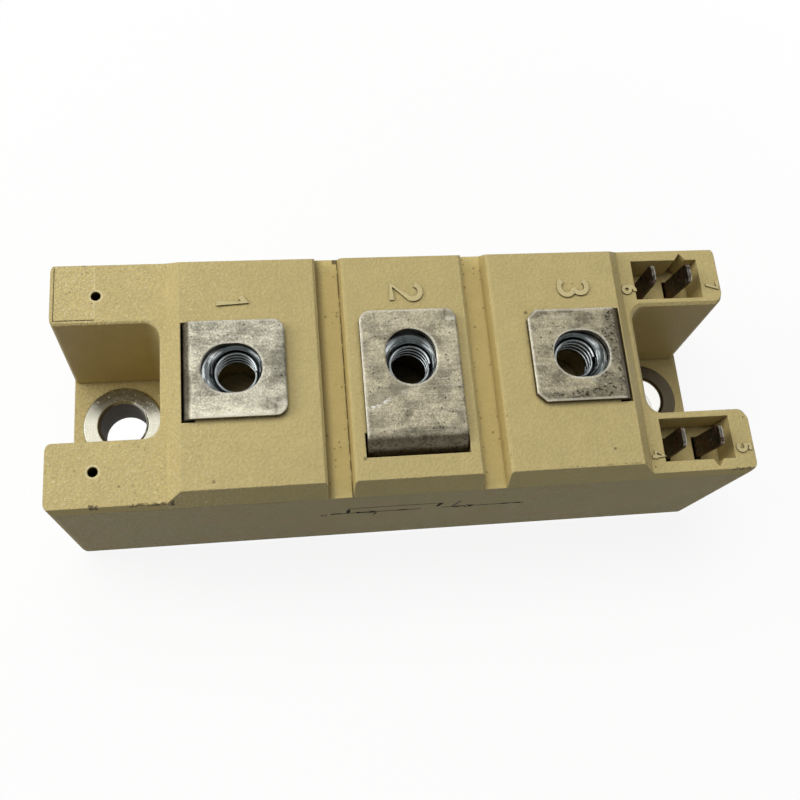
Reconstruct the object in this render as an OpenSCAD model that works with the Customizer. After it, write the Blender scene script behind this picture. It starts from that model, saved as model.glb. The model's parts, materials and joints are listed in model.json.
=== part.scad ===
// Half-bridge power module in a moulded housing with three screw terminals,
// four push-on control tabs and a metal base plate.
// Millimetres, +Z up, origin at the centre of the underside of the base plate.

/* [Housing] */
// Length over the four arms
body_l = 94; // [93:0.5:96]
// Width over the side walls
body_w = 34; // [33.5:0.5:36]
// Height of the tops of the three terminal blocks
block_z = 29.3; // [28.8:0.1:30]
// Height of the tops of the four arms
arm_z = 27.1; // [26.8:0.1:27.6]
// Height of the shoulder line and of the floors of the two grooves
shoulder_z = 25.9; // [25.5:0.1:26.2]
// How far the band above the shoulder leans in by the height of the block tops
lean = 1.35; // [0.9:0.05:1.6]
// Radius of the four upright corners
corner_r = 1.4; // [0.6:0.1:1.8]
// Chamfer along the blocks' edges over the grooves
edge_break = 0.35; // [0.2:0.05:0.5]
// Thickness of the end walls and of the arms' outer walls
end_wall = 1.8; // [1.5:0.1:2]
// Thickness of the two long side walls
side_wall = 2.6; // [2.3:0.1:2.8]
// Thickness of the roof over the cavity
roof = 1.8; // [1.5:0.1:2]
// Height of the housing's lower edge above the base plate's underside
edge_gap = 0.2; // [0.1:0.05:0.4]

/* [Terminal blocks] */
// Distance from one main terminal to the next
terminal_pitch = 23; // [22.8:0.1:23.2]
// Width of the middle block
mid_block = 16.9; // [16.5:0.1:17.3]
// Width of each groove between blocks
groove = 3.5; // [3:0.1:4]
// Half the length over the tops of the outer blocks
block_end = 30.15; // [30.1:0.05:30.4]
// Half the length over the feet of the end bevels
bevel_end = 32; // [31.6:0.1:32.4]

/* [Mounting ends] */
// Distance between the two mounting holes
hole_pitch = 80; // [79.5:0.1:80.5]
// Diameter of the mounting holes
hole_d = 6.6; // [6.4:0.1:7]
// Outer diameter of the steel bushes
bush_d = 11.4; // [10.8:0.1:11.8]
// Height of the bushes above the ledges
bush_proud = 0.4; // [0.2:0.1:0.8]
// Height of the two ledges
ledge_z = 7; // [6.5:0.1:8]
// Half the length between the notches, measured at the arm tops
notch_root = 32.85; // [32.7:0.05:33]
// Width of the notches at the arm tops
notch_top_w = 16; // [15.6:0.1:16.2]
// Width of the notches at the ledges
notch_foot_w = 13.6; // [13:0.1:14]
// Radius of the notches' inner corners
notch_r = 2; // [1:0.1:2.5]
// Radius of the corners at the left notch's mouth
left_mouth_r = 0.7; // [0.4:0.1:1.6]
// Radius of the corners at the right notch's mouth
right_mouth_r = 1.2; // [0.4:0.1:1.6]
// Chamfer round the top of the left notch
left_lip = 0.25; // [0.15:0.05:0.5]
// Chamfer round the top of the right notch
right_lip = 0.4; // [0.15:0.05:0.5]
// Slope of the notches' end walls, from top to ledge
notch_draft = 0.5; // [0.2:0.1:0.8]

/* [Tab sockets] */
// Distance from the middle of the module to the sockets
socket_x = 34; // [33.9:0.1:34.2]
// Distance from the long axis to the sockets
socket_y = 8.95; // [8.9:0.05:9.1]
// Length of a socket
socket_l = 10.1; // [10:0.1:10.4]
// Width of a socket
socket_w = 6.05; // [5.9:0.05:6.1]
// Depth of a socket below the arm tops
socket_deep = 5.1; // [4.6:0.1:5.4]
// Distance from the middle of the module to the key grooves
key_x = 41.6; // [41:0.1:42]
// Width of a key groove at the socket wall
key_w = 2.2; // [1.6:0.1:2.4]
// Depth of a key groove
key_deep = 1.05; // [0.7:0.05:1.1]
// Diameter of the vent holes in the plain arms
vent_d = 1.3; // [1:0.1:2]

/* [Main terminals] */
// Thickness of the terminal strip
strip_t = 1; // [0.8:0.1:1]
// Width of the terminal strip
strip_w = 13.2; // [12.6:0.1:13.4]
// Width of the screw slots
slot_w = 6.8; // [6.6:0.1:7]
// Length of the screw slots
slot_l = 7.9; // [7.4:0.1:8.2]
// Radius of the free corners of the outer terminals' contact faces
tip_r = 1.5; // [0.8:0.1:2]
// Distance across the flats of the captive nuts
nut_af = 10; // [9.8:0.1:10]
// Height of the captive nuts
nut_h = 6; // [5:0.5:6]
// Thread diameter of the captive nuts
thread_d = 6; // [5:1:6]

/* [Control tabs] */
// Width of a tab blade
blade_w = 2.8; // [2.4:0.1:2.8]
// Thickness of a tab blade
blade_t = 0.5; // [0.4:0.1:0.8]
// Height of the tab tips
blade_z = 29.2; // [27.5:0.1:29.6]
// How far the two outer blades lean out at their tips
blade_lean = 0.8; // [0:0.1:1]

/* [Base plate] */
// Thickness of the base plate
base_t = 3; // [2.5:0.1:3]
// Width of the housing's rim round the base plate
base_rim = 1.3; // [1.2:0.1:1.4]
// Radius of the base plate's corners
base_r = 2; // [1:0.5:3]

/* [Substrates] */
// Length of a ceramic substrate
sub_l = 28; // [27.6:0.1:28.2]
// Width of a ceramic substrate
sub_w = 27; // [26.6:0.1:27.4]
// Thickness of the ceramic
ceramic_t = 0.63; // [0.38:0.01:0.7]
// Thickness of the copper on each side of the ceramic
copper_t = 0.3; // [0.2:0.05:0.4]
// Thickness of the silicon chips
chip_t = 0.3; // [0.2:0.05:0.4]
// Diameter of the aluminium bond wires
wire_d = 0.4; // [0.3:0.05:0.5]
// Height of the top of the silicone gel
gel_z = 14; // [12:0.5:14]

/* [Hidden] */
$fn = 64;
over = 1;               // how far a cut runs past the face it opens

// heights of the layers, from the base plate up
adhesive_t = 0.2;
solder_t = 0.15;
back_z = base_t + solder_t;
ceramic_z = back_z + copper_t;
track_z = ceramic_z + ceramic_t;
pad_z = track_z + copper_t;
chip_z = pad_z + chip_t;

// housing
half_l = body_l / 2;
half_w = body_w / 2;
groove_draft = 0.15;
base_fit = 0.1;
step_z = base_t + adhesive_t;
socket_floor = arm_z - socket_deep;
core_x = notch_root - end_wall;
core_y = half_w - side_wall;
arm_core_x = half_l - end_wall;
arm_core_y = notch_top_w / 2 + end_wall;
core_z = shoulder_z - roof;
vent_at = [41.1, 12];
insert_at = [41.25, 8.5];  // inner front corner of the mould insert's place
insert_size = [5.3, 7.7];
witness = 0.12;         // width and depth of the line that the insert leaves
rib_t = 1.6;
rib_h = 3;

// terminals
plate_z = block_z + strip_t;
nut_gap = 0.2;
nut_z = block_z - nut_gap - nut_h;
nut_fit = 0.2;
well_d = 6.8;
well_floor = 18.5;
boss_floor = 17;
boss = [13, 15];
riser_x = 29.75;        // outer face of the two end terminals
riser_y = 12.4;         // outer face of the middle terminal
end_bend_r = 1.5;
mid_bend_r = 3;
end_plate_l = 13.2;
mid_plate_l = 19.7;
leg_z = 21;             // the strip is narrow below this height
end_leg_w = 8;
mid_leg = [2, 6.5];
foot_l = 4.2;
foot_bend_r = 1.5;
end_slit = 0.25;        // clearance behind the two end risers in their slits
mid_slit = 0.3;         // clearance on each side of the middle riser in its slit
slit_side = 0.25;

// control tabs and leads
tab_x = [36.3, 40.9];
tab_y = 12.1;
blade_foot = 17;
blade_tip_r = 0.8;
dimple_d = 1.2;
dimple_deep = 0.2;
dimple_drop = 2.3;      // from a blade's tip down to its latching dimple
tab_slit = [1, 3.3];
lead_w = 1.6;
lead_t = 0.5;
lead_y = 11.65;
lead_joint_z = 19;
run_z = [16.4, 14.8];

// substrate layout, in the left substrate's own frame
sub_x = 15;
track_edge = 1;
gate_pad = [[-13, 10.3], [-7, 12.5]];
sense_pad = [[-6.3, 10.3], [13, 12.5]];
collector_pad = [[-13, -4.5], [13, 9.6]];
emitter_pad = [[-13, -12.5], [13, -5.1]];
igbt_at = [-4, 3.4];
igbt_size = 11;
diode_at = [6.6, 3.4];
diode_size = 7;

// ---------------------------------------------------------------- helpers

// an outline drawn in width and height, run along the length of the module
module along_x(length) rotate([90, 0, 90]) linear_extrude(length, center = true) children();

// an outline drawn in length and height, run across the module
module along_y(length) rotate([90, 0, 0]) linear_extrude(length, center = true) children();

module both_ends() for (side = [0, 1]) mirror([side, 0, 0]) children();

module both_sides() for (side = [0, 1]) mirror([0, side, 0]) children();

module round_rect(size, r) {
    square([size.x - 2 * r, size.y], center = true);
    square([size.x, size.y - 2 * r], center = true);
    for (x = [-1, 1], y = [-1, 1])
        translate([x * (size.x / 2 - r), y * (size.y / 2 - r)]) circle(r);
}

// a slot with round ends, long way along x
module slot_outline(length, width) {
    square([length - width, width], center = true);
    for (x = [-1, 1]) translate([x * (length - width) / 2, 0]) circle(width / 2);
}

// a quarter of a ring, in the quadrant that the two signs name
module quarter_ring(outer, inner, sign_x, sign_y) intersection() {
    difference() {
        circle(outer);
        circle(inner);
    }
    translate([min(0, sign_x) * outer, min(0, sign_y) * outer]) square(outer);
}

module hexagon(across_flats) rotate(30) circle(across_flats / sqrt(3), $fn = 6);

function unit(v) = v / norm(v);
function left_of(v) = [-v.y, v.x];

// one edge of a strip that follows a path of straight runs, mitred at the folds
function strip_edge(path, i, half) =
    let (
        last = len(path) - 1,
        before = unit(path[max(i, 1)] - path[max(i, 1) - 1]),
        after = unit(path[min(i, last - 1) + 1] - path[min(i, last - 1)]),
        bisector = unit(left_of(before) + left_of(after))
    )
    path[i] + bisector * half / (bisector * left_of(after));

function strip_outline(path, thick) = concat(
    [for (i = [0 : len(path) - 1]) strip_edge(path, i, thick / 2)],
    [for (i = [len(path) - 1 : -1 : 0]) strip_edge(path, i, -thick / 2)]
);

// ---------------------------------------------------------------- housing

// end view: upright walls, then a band that leans in
module end_outline() polygon([
    [-half_w, edge_gap], [half_w, edge_gap], [half_w, shoulder_z],
    [half_w - lean, block_z], [lean - half_w, block_z], [-half_w, shoulder_z]
]);

// side view: low arms, bevelled outer blocks and two grooves
module side_outline() {
    inner = mid_block / 2;
    outer = inner + groove;
    half = [
        [inner - edge_break, block_z], [inner, block_z - edge_break],
        [inner + groove_draft, shoulder_z], [outer - groove_draft, shoulder_z],
        [outer, block_z - edge_break], [outer + edge_break, block_z],
        [block_end, block_z], [bevel_end, arm_z], [half_l, arm_z], [half_l, edge_gap]
    ];
    polygon(concat(half, [for (i = [len(half) - 1 : -1 : 0]) [-half[i].x, half[i].y]]));
}

module outer_body() intersection() {
    along_x(body_l) end_outline();
    along_y(body_w) side_outline();
    linear_extrude(block_z) round_rect([body_l, body_w], corner_r);
}

// the plan of the hollow: a wide middle and a leg into each arm
module core_plan() difference() {
    square([2 * arm_core_x, 2 * core_y], center = true);
    both_ends() translate([core_x, -arm_core_y]) square([arm_core_x, 2 * arm_core_y]);
}

module core() {
    translate([0, 0, -over]) linear_extrude(socket_floor - roof + over) core_plan();
    // the middle and the two plain arms are hollow to a greater height
    linear_extrude(core_z) intersection() {
        core_plan();
        translate([-half_l, -half_w]) square([half_l + core_x, body_w]);
    }
    // each block is cored out to an even roof
    translate([0, 0, core_z - over]) linear_extrude(block_z - roof - core_z + over) {
        square([mid_block - 2 * roof, 2 * (core_y - over)], center = true);
        both_ends()
            translate([mid_block / 2 + groove + roof, over - core_y])
                square([block_end - mid_block / 2 - groove - 3 * roof, 2 * (core_y - over)]);
    }
}

// the plan of a notch at its ledge, from the mouth at 0 inwards
module notch_plan(mouth_r) {
    deep = half_l - notch_root - notch_draft;
    half = notch_foot_w / 2;
    translate([notch_r - deep, -half]) square([deep - notch_r + over, 2 * half]);
    translate([-deep, notch_r - half]) square([deep, 2 * (half - notch_r)]);
    both_sides() {
        translate([notch_r - deep, half - notch_r]) circle(notch_r, $fn = 48);
        translate([-mouth_r, 0]) difference() {
            square([mouth_r + over, half + mouth_r]);
            translate([0, half + mouth_r]) circle(mouth_r, $fn = 48);
        }
    }
}

// a notch over a ledge: its walls spread from the ledge up, and its top edge is chamfered
module end_notch(mouth_r, lip) translate([half_l, 0, ledge_z]) {
    rise = arm_z - ledge_z;
    deep = half_l - notch_root;
    grow = [deep / (deep - notch_draft), notch_top_w / notch_foot_w];
    flare = [1 + 2 * lip / deep, 1 + 4 * lip / notch_top_w];
    linear_extrude(rise, scale = grow, slices = 1) notch_plan(mouth_r);
    translate([0, 0, rise - lip])
        linear_extrude(2 * lip, scale = flare, slices = 1) scale(grow) notch_plan(mouth_r);
}

// a socket for a plug, with a key groove down its outer wall
module socket() translate([0, 0, socket_floor]) linear_extrude(socket_deep + over) {
    translate([socket_x, socket_y]) square([socket_l, socket_w]);
    translate([key_x, socket_y + socket_w - key_deep / 2])
        polygon([[-key_w / 2 - 0.5, -0.5], [0, key_deep * 1.5], [key_w / 2 + 0.5, -0.5]]);
}

// the line that a mould insert leaves along two sides of its place on the back left arm
module insert_line() translate([-insert_at.x - insert_size.x, insert_at.y, arm_z - witness]) {
    cube([witness, insert_size.y, over]);
    cube([insert_size.x, witness, over]);
}

module nut_pocket() {
    translate([0, 0, nut_z]) linear_extrude(block_z) hexagon(nut_af + nut_fit);
    translate([0, 0, well_floor]) cylinder(block_z, d = well_d);
}

// the three openings that the terminal strips come up through, wider at the bends
module strip_slits() {
    side = strip_w / 2 + slit_side;
    foot = boss_floor - over;
    both_ends() {
        translate([riser_x - strip_t - mid_slit, -side, foot])
            cube([strip_t + mid_slit + end_slit, 2 * side, block_z]);
        translate([riser_x - end_bend_r, -side, plate_z - end_bend_r])
            cube([end_bend_r, 2 * side, block_z]);
    }
    translate([-side, -riser_y - mid_slit, foot])
        cube([2 * side, strip_t + 2 * mid_slit, block_z]);
    translate([-side, -riser_y, plate_z - mid_bend_r])
        cube([2 * side, mid_bend_r, block_z]);
}

module terminal_places() for (i = [-1 : 1]) translate([i * terminal_pitch, 0, 0]) children();

module housing() color([0.75, 0.69, 0.47]) difference() {
    union() {
        difference() {
            outer_body();
            core();
        }
        terminal_places() translate([-boss.x / 2, -boss.y / 2, boss_floor])
            cube([boss.x, boss.y, block_z - roof / 2 - boss_floor]);
        both_ends() translate([(mid_block + groove - rib_t) / 2, -core_y, core_z - rib_h])
            cube([rib_t, 2 * core_y, rib_h]);
    }
    end_notch(right_mouth_r, right_lip);
    mirror([1, 0, 0]) end_notch(left_mouth_r, left_lip);
    both_ends() translate([hole_pitch / 2, 0, 0]) cylinder(ledge_z + over, d = bush_d);
    linear_extrude(2 * step_z, center = true)
        round_rect([base_l() + 2 * base_fit, base_w() + 2 * base_fit], base_r);
    terminal_places() nut_pocket();
    strip_slits();
    insert_line();
    both_sides() {
        socket();
        for (x = tab_x) translate([x - tab_slit.x / 2, tab_y - tab_slit.y / 2, core_z - 5 * roof])
            cube([tab_slit.x, tab_slit.y, block_z]);
        translate([-vent_at.x, vent_at.y, core_z - over]) cylinder(block_z, d = vent_d);
    }
}

// ---------------------------------------------------------------- base and mounting

function base_l() = body_l - 2 * (base_rim + base_fit);
function base_w() = body_w - 2 * (base_rim + base_fit);

module base_plate() color([0.72, 0.71, 0.67]) difference() {
    linear_extrude(base_t) round_rect([base_l(), base_w()], base_r);
    both_ends() translate([hole_pitch / 2, 0, -over]) cylinder(base_t + 2 * over, d = hole_d);
}

// the bead that bonds the housing's step to the base plate
module case_adhesive() color([0.85, 0.84, 0.8])
    translate([0, 0, base_t]) linear_extrude(adhesive_t) difference() {
        round_rect([base_l(), base_w()], base_r);
        core_plan();
        both_ends() translate([hole_pitch / 2, 0]) circle(bush_d / 2 + 0.5);
    }

module bush() {
    bore = hole_d / 2;
    rim = bush_d / 2;
    top = ledge_z + bush_proud;
    lead_in = 0.4;
    edge = 0.2;
    rotate_extrude() polygon([
        [bore, base_t], [rim, base_t], [rim, top - edge], [rim - edge, top],
        [bore + lead_in, top], [bore, top - lead_in]
    ]);
}

module bush_left() color([0.78, 0.77, 0.72]) translate([-hole_pitch / 2, 0, 0]) bush();

module bush_right() color([0.78, 0.77, 0.72]) translate([hole_pitch / 2, 0, 0]) bush();

// ---------------------------------------------------------------- main terminals

// side view of a folded strip: contact face, bend, riser, bend and foot.
// The riser's outer face is at 0 and the contact face runs towards +x.
module strip_fold(plate_l, bend_r) {
    translate([bend_r, plate_z - strip_t]) square([plate_l - bend_r, strip_t]);
    translate([bend_r, plate_z - bend_r]) quarter_ring(bend_r, bend_r - strip_t, -1, 1);
    translate([0, pad_z + foot_bend_r]) square([strip_t, plate_z - bend_r - pad_z - foot_bend_r]);
    translate([foot_bend_r, pad_z + foot_bend_r])
        quarter_ring(foot_bend_r, foot_bend_r - strip_t, -1, -1);
    translate([foot_bend_r, pad_z]) square([foot_l - foot_bend_r, strip_t]);
}

// a whole terminal strip: leg gives the two sides of its narrow lower part,
// screw_x the middle of its screw slot, and children() the plan of its contact face
module strip(plate_l, bend_r, leg, screw_x) difference() {
    intersection() {
        along_y(strip_w) strip_fold(plate_l, bend_r);
        linear_extrude(plate_z) children();
    }
    translate([-over, leg[1], 0]) cube([plate_l, strip_w, leg_z]);
    translate([-over, leg[0] - strip_w, 0]) cube([plate_l, strip_w, leg_z]);
    translate([screw_x, 0, leg_z]) linear_extrude(plate_z) slot_outline(slot_l, slot_w);
}

// plan of a contact face with two round corners at its free end
module round_tip(plate_l, r) {
    translate([0, -strip_w / 2]) square([plate_l - r, strip_w]);
    translate([0, r - strip_w / 2]) square([plate_l, strip_w - 2 * r]);
    both_sides() translate([plate_l - r, strip_w / 2 - r]) circle(r);
}

// plan of a contact face with two cropped corners at its free end
module cropped_tip(plate_l, crop) polygon([
    [0, -strip_w / 2], [plate_l - crop, -strip_w / 2], [plate_l, crop - strip_w / 2],
    [plate_l, strip_w / 2 - crop], [plate_l - crop, strip_w / 2], [0, strip_w / 2]
]);

end_leg = [-end_leg_w / 2, end_leg_w / 2];
end_screw = riser_x - terminal_pitch - 0.5;
mid_screw = riser_y + 0.6;

module terminal_1() color([0.8, 0.78, 0.72])
    translate([-riser_x, 0, 0]) strip(end_plate_l, end_bend_r, end_leg, end_screw)
        round_tip(end_plate_l, tip_r);

module terminal_2() color([0.8, 0.78, 0.72])
    translate([0, -riser_y, 0]) rotate(90)
        strip(mid_plate_l, mid_bend_r, mid_leg, mid_screw) round_tip(mid_plate_l, tip_r);

module terminal_3() color([0.8, 0.78, 0.72])
    translate([riser_x, 0, 0]) rotate(180) strip(end_plate_l, end_bend_r, end_leg, end_screw)
        cropped_tip(end_plate_l, tip_r * 0.8);

// a hexagon nut with chamfered corners and a countersunk lead-in
module nut() {
    corner = nut_af / sqrt(3);
    chamfer = 0.5;
    lead_in = 0.45;
    difference() {
        intersection() {
            linear_extrude(nut_h) hexagon(nut_af);
            rotate_extrude() polygon([
                [0, 0], [corner - chamfer * 2, 0], [corner, chamfer],
                [corner, nut_h - chamfer], [corner - chamfer * 2, nut_h], [0, nut_h]
            ]);
        }
        rotate_extrude() polygon([
            [0, -over], [thread_d / 2 + lead_in, -over], [thread_d / 2 + lead_in, 0],
            [thread_d / 2, lead_in], [thread_d / 2, nut_h - lead_in],
            [thread_d / 2 + lead_in, nut_h], [thread_d / 2 + lead_in, nut_h + over],
            [0, nut_h + over]
        ]);
    }
}

module nut_1() color([0.62, 0.65, 0.68]) translate([-terminal_pitch, 0, nut_z]) nut();

module nut_2() color([0.62, 0.65, 0.68]) translate([0, 0, nut_z]) nut();

module nut_3() color([0.62, 0.65, 0.68]) translate([terminal_pitch, 0, nut_z]) nut();

// ---------------------------------------------------------------- control tabs

// end view of a blade, with a rounded tip
module blade_outline() translate([tab_y, 0]) {
    half = blade_w / 2;
    translate([-half, 0]) square([blade_w, blade_z - blade_tip_r]);
    translate([blade_tip_r - half, 0]) square([blade_w - 2 * blade_tip_r, blade_z]);
    both_ends() translate([half - blade_tip_r, blade_z - blade_tip_r]) circle(blade_tip_r);
}

// a blade that stands in a socket, with a latching dimple in its inner face
module blade(x, lean_out) difference() {
    rise = blade_z - socket_floor;
    slope = lean_out / rise;
    intersection() {
        along_y(body_w) polygon(strip_outline(
            [[x, blade_foot], [x, socket_floor], [x + lean_out, blade_z]], blade_t));
        along_x(body_l) blade_outline();
    }
    translate([x + slope * (rise - dimple_drop), tab_y, blade_z - dimple_drop])
        rotate([0, atan(slope) - 90, 0]) translate([0, 0, blade_t / 2 - dimple_deep])
            cylinder(2 * dimple_deep, d1 = dimple_d / 3, d2 = dimple_d * 5 / 3, $fn = 32);
}

module control_tab_4() color([0.45, 0.42, 0.4]) mirror([0, 1, 0]) blade(tab_x[0], 0);

module control_tab_5() color([0.45, 0.42, 0.4]) mirror([0, 1, 0]) blade(tab_x[1], blade_lean);

module control_tab_6() color([0.45, 0.42, 0.4]) blade(tab_x[0], 0);

module control_tab_7() color([0.45, 0.42, 0.4]) blade(tab_x[1], blade_lean);

// a strip that is joined to a blade's inner face and runs to a pad on a substrate
module lead(blade_x, run, leg_x) {
    joint_x = blade_x - (blade_t + lead_t) / 2;
    foot = pad_z + lead_t / 2;
    translate([0, lead_y, 0]) along_y(lead_w) polygon(strip_outline([
        [joint_x, lead_joint_z], [joint_x, run], [leg_x, run],
        [leg_x, foot], [leg_x - 2, foot]
    ], lead_t));
}

module control_lead_4() color([0.8, 0.45, 0.3]) mirror([0, 1, 0]) lead(tab_x[0], run_z[0], 20);

module control_lead_5() color([0.8, 0.45, 0.3]) mirror([0, 1, 0]) lead(tab_x[1], run_z[1], 25);

module control_lead_6() color([0.8, 0.45, 0.3]) lead(tab_x[0], run_z[0], -24);

module control_lead_7() color([0.8, 0.45, 0.3]) lead(tab_x[1], run_z[1], -17);

// ---------------------------------------------------------------- substrates

// the right substrate is the left one turned half round
module on_left() translate([-sub_x, 0, 0]) children();

module on_right() translate([sub_x, 0, 0]) rotate(180) children();

module sheet(size, z, thick) translate([-size.x / 2, -size.y / 2, z]) cube([size.x, size.y, thick]);

module pad(corners) translate([corners[0].x, corners[0].y, track_z])
    cube([corners[1].x - corners[0].x, corners[1].y - corners[0].y, copper_t]);

module chip(at, size) translate([at.x - size / 2, at.y - size / 2, pad_z]) cube([size, size, chip_t]);

// a bond wire that arches from one place to another; low is its lower foot's height
module wire(from, to, high, low) {
    span = norm(to - from);
    middle = (from + to) / 2;
    turn = atan2(to.y - from.y, to.x - from.x);
    translate([middle.x, middle.y, high]) rotate([90, 0, turn])
        rotate_extrude(angle = 180, $fn = 24) translate([span / 2, 0]) circle(d = wire_d);
    if (low < high) translate([to.x, to.y, low]) cylinder(high - low, d = wire_d, $fn = 24);
}

backing = [sub_l - 2 * track_edge, sub_w - 2 * track_edge];

module solder_left() color([0.6, 0.6, 0.6]) on_left() sheet(backing, base_t, solder_t);

module solder_right() color([0.6, 0.6, 0.6]) on_right() sheet(backing, base_t, solder_t);

module back_copper_left() color([0.8, 0.45, 0.3]) on_left() sheet(backing, back_z, copper_t);

module back_copper_right() color([0.8, 0.45, 0.3]) on_right() sheet(backing, back_z, copper_t);

module ceramic_left() color("white") on_left() sheet([sub_l, sub_w], ceramic_z, ceramic_t);

module ceramic_right() color("white") on_right() sheet([sub_l, sub_w], ceramic_z, ceramic_t);

module collector_track_left() color([0.8, 0.45, 0.3]) on_left() pad(collector_pad);

module collector_track_right() color([0.8, 0.45, 0.3]) on_right() pad(collector_pad);

module emitter_track_left() color([0.8, 0.45, 0.3]) on_left() pad(emitter_pad);

module emitter_track_right() color([0.8, 0.45, 0.3]) on_right() pad(emitter_pad);

module gate_track_left() color([0.8, 0.45, 0.3]) on_left() pad(gate_pad);

module gate_track_right() color([0.8, 0.45, 0.3]) on_right() pad(gate_pad);

module sense_track_left() color([0.8, 0.45, 0.3]) on_left() pad(sense_pad);

module sense_track_right() color([0.8, 0.45, 0.3]) on_right() pad(sense_pad);

module igbt_chip_left() color([0.3, 0.32, 0.36]) on_left() chip(igbt_at, igbt_size);

module igbt_chip_right() color([0.3, 0.32, 0.36]) on_right() chip(igbt_at, igbt_size);

module diode_chip_left() color([0.4, 0.4, 0.42]) on_left() chip(diode_at, diode_size);

module diode_chip_right() color([0.4, 0.4, 0.42]) on_right() chip(diode_at, diode_size);

// ---------------------------------------------------------------- bond wires

module emitter_wires() for (x = [-8 : 2 : 0])
    wire([x, -1], [x, -6.2], chip_z, pad_z);

module diode_wires() for (x = [4.6 : 2 : 8.6])
    wire([x, 1], [x, -6.2], chip_z, pad_z);

module gate_wire() wire([-7.5, 8], [-7.5, 11], chip_z, pad_z);

module sense_wire() wire([0, 8], [0, 11], chip_z, pad_z);

module emitter_wires_left() color([0.85, 0.85, 0.87]) on_left() emitter_wires();

module emitter_wires_right() color([0.85, 0.85, 0.87]) on_right() emitter_wires();

module diode_wires_left() color([0.85, 0.85, 0.87]) on_left() diode_wires();

module diode_wires_right() color([0.85, 0.85, 0.87]) on_right() diode_wires();

module gate_wire_left() color([0.85, 0.85, 0.87]) on_left() gate_wire();

module gate_wire_right() color([0.85, 0.85, 0.87]) on_right() gate_wire();

module sense_wire_left() color([0.85, 0.85, 0.87]) on_left() sense_wire();

module sense_wire_right() color([0.85, 0.85, 0.87]) on_right() sense_wire();

// wires from the upper switch's emitter to the lower switch's collector
module link_wires() color([0.85, 0.85, 0.87]) for (y = [5.8 : 1.1 : 9.1])
    wire([-3, y], [3, y], pad_z, pad_z);

// ---------------------------------------------------------------- gel

// everything that stands in the gel
module potted_parts() {
    terminal_1();
    terminal_2();
    terminal_3();
    control_lead_4();
    control_lead_5();
    control_lead_6();
    control_lead_7();
    for (side = [0, 1]) rotate(side * 180) {
        solder_left();
        back_copper_left();
        ceramic_left();
        collector_track_left();
        emitter_track_left();
        gate_track_left();
        sense_track_left();
        igbt_chip_left();
        diode_chip_left();
        emitter_wires_left();
        diode_wires_left();
        gate_wire_left();
        sense_wire_left();
    }
    link_wires();
}

module silicone_gel() color([0.85, 0.88, 0.85, 0.4]) difference() {
    translate([0, 0, base_t]) linear_extrude(gel_z - base_t) core_plan();
    potted_parts();
}

// ---------------------------------------------------------------- nodes

housing();
base_plate();
case_adhesive();
bush_left();
bush_right();
terminal_1();
terminal_2();
terminal_3();
nut_1();
nut_2();
nut_3();
control_tab_4();
control_tab_5();
control_tab_6();
control_tab_7();
control_lead_4();
control_lead_5();
control_lead_6();
control_lead_7();
solder_left();
solder_right();
back_copper_left();
back_copper_right();
ceramic_left();
ceramic_right();
collector_track_left();
collector_track_right();
emitter_track_left();
emitter_track_right();
gate_track_left();
gate_track_right();
sense_track_left();
sense_track_right();
igbt_chip_left();
igbt_chip_right();
diode_chip_left();
diode_chip_right();
emitter_wires_left();
emitter_wires_right();
diode_wires_left();
diode_wires_right();
gate_wire_left();
gate_wire_right();
sense_wire_left();
sense_wire_right();
link_wires();
silicone_gel();
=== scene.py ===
import json
import math
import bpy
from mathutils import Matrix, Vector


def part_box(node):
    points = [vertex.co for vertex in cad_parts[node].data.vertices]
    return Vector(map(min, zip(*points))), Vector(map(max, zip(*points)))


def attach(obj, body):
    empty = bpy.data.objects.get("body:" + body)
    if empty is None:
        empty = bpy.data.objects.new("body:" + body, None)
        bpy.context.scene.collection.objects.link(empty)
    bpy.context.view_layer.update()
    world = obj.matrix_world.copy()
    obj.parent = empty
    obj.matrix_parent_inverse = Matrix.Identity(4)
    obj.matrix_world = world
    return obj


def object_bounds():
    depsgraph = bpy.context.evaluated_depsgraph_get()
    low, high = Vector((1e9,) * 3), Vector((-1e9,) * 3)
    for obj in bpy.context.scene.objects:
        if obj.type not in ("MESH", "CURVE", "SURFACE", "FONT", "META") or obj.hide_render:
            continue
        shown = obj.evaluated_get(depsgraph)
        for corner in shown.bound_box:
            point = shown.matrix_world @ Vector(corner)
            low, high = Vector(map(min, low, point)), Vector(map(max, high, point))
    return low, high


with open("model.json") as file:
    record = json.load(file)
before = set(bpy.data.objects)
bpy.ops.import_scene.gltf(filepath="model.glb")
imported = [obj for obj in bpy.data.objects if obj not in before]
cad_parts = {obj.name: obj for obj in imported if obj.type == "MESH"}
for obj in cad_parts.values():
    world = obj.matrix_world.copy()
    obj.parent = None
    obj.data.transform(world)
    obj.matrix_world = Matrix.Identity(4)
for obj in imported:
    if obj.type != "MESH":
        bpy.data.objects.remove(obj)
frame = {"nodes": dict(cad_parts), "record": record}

from types import SimpleNamespace

import bpy
from mathutils import Matrix, Vector

MM = 0.001
BODY = "root"
WHITE = (1, 1, 1, 1)


def corners():
    """The shown object's box, as plain lists of metres."""
    return [list(corner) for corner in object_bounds()]


cad_box = corners()


# ---------------------------------------------------------------- node trees

class Value:
    """A number socket that takes part in sums: each operator adds a Math node."""

    def __init__(self, graph, socket):
        self.graph = graph
        self.socket = socket

    def __add__(self, other):
        return self.graph.math("ADD", self, other)

    __radd__ = __add__

    def __sub__(self, other):
        return self.graph.math("SUBTRACT", self, other)

    def __rsub__(self, other):
        return self.graph.math("SUBTRACT", other, self)

    def __mul__(self, other):
        return self.graph.math("MULTIPLY", self, other)

    __rmul__ = __mul__

    def __truediv__(self, other):
        return self.graph.math("DIVIDE", self, other)

    def __pow__(self, other):
        return self.graph.math("POWER", self, other)

    def __abs__(self):
        return self.graph.math("ABSOLUTE", self)

    def __lt__(self, other):
        return self.graph.math("LESS_THAN", self, other)


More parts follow.
